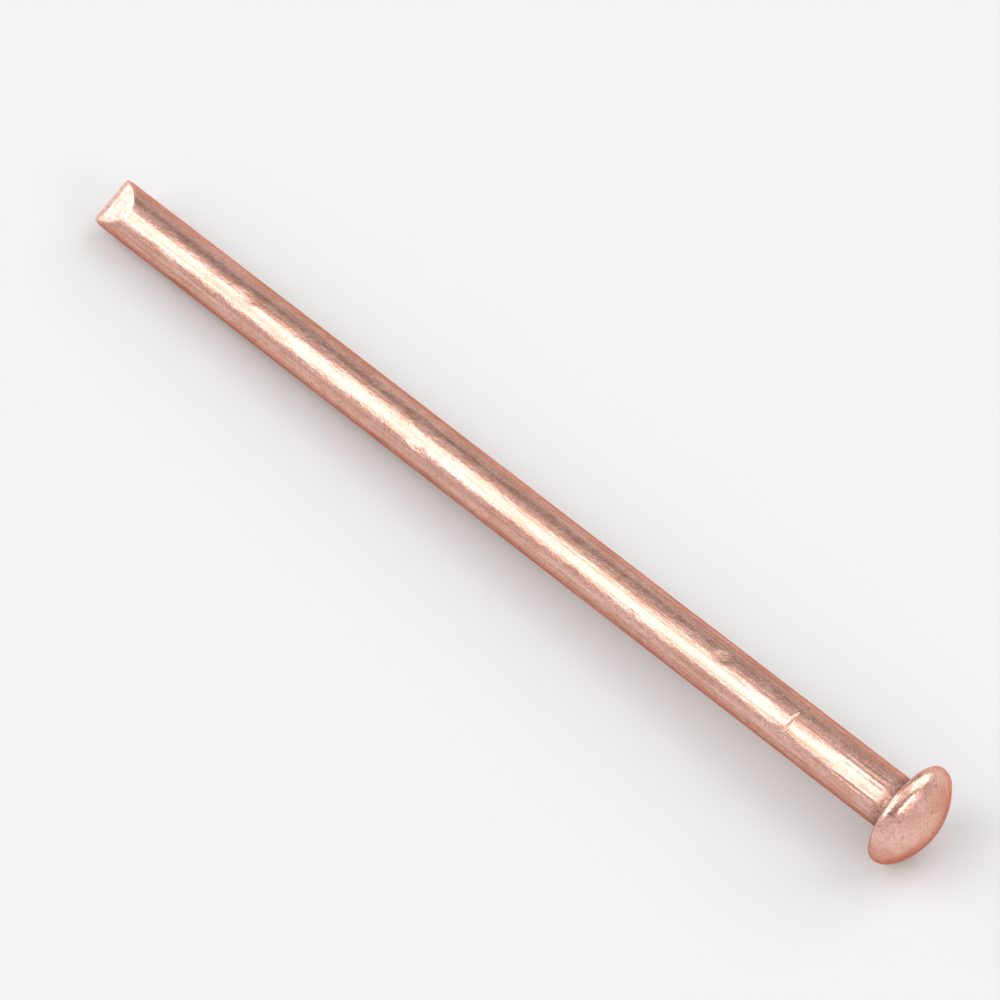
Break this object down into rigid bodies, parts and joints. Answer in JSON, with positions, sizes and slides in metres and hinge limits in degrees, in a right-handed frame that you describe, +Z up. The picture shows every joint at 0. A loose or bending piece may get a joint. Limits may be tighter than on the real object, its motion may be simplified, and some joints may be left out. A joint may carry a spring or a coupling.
{
  "type": "nail",
  "caption": "Round-wire nail with a shallow domed head and a pinch-cut chisel point, steel plated all over with copper, for spot welding by its head.",
  "frame": {"origin": "on the nail's axis, where the straight shank begins under the head's fillet", "axes": "+X along the axis towards the crown of the head, -X towards the chisel point; +Z up with the nail lying on its side"},
  "size_m": [0.05, 0.0048, 0.0049],
  "materials": {
    "steel_core": "drawn low-carbon steel wire, hidden under the plating",
    "copper_plating": "electroplated copper, satin, with drawing lines, brown streaks and fine pits"
  },
  "bodies": {
    "root": {"steel_core": "steel_core", "copper_plating": "copper_plating"}
  },
  "joints": []
}
